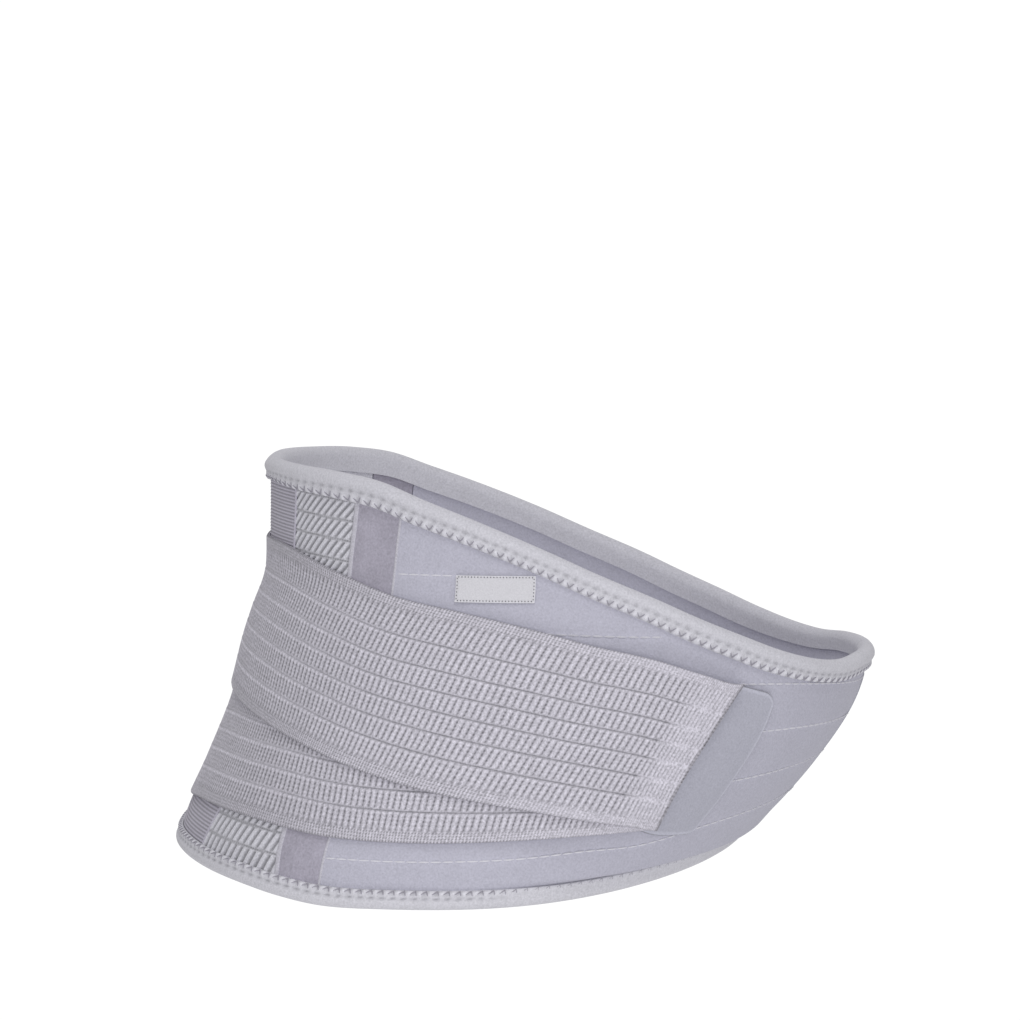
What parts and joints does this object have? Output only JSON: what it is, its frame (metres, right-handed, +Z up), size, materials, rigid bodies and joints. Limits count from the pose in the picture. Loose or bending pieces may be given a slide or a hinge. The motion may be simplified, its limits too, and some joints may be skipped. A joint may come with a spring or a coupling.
{
  "type": "maternity support belt",
  "caption": "Wide maternity support belt in its worn shape: high ribbed back, foam wings that close under the belly, bound edges, and elastic straps that end in felt tabs.",
  "frame": {"origin": "middle of the wearer's hips: centred from side to side, near the middle from front to back, and a little under half the belt's height", "axes": "+X to where the wearer faces, +Y to the wearer's left, +Z up"},
  "size_m": [0.3487, 0.3652, 0.2026],
  "materials": {
    "ribbed_knit": "matt ribbed knit",
    "ladder_knit": "matt ladder knit",
    "velour": "matt brushed velour",
    "foam_laminate": "matt brushed loop over foam",
    "edge_tape": "soft folded knit tape",
    "elastic": "ribbed woven elastic",
    "felt": "matt felt",
    "label_satin": "fine woven label, bare"
  },
  "bodies": {
    "root": {"centre_back_panel": "ribbed_knit", "mesh_panel_right": "ladder_knit", "mesh_panel_left": "ladder_knit", "stay_tape_right": "velour", "stay_tape_left": "velour", "wing_right": "foam_laminate", "wing_left": "foam_laminate", "top_binding": "edge_tape", "bottom_binding": "edge_tape", "lower_strap": "elastic", "upper_strap": "elastic", "strap_tab_right": "felt", "strap_tab_left": "felt", "front_closure": "felt", "label": "label_satin"}
  },
  "joints": []
}
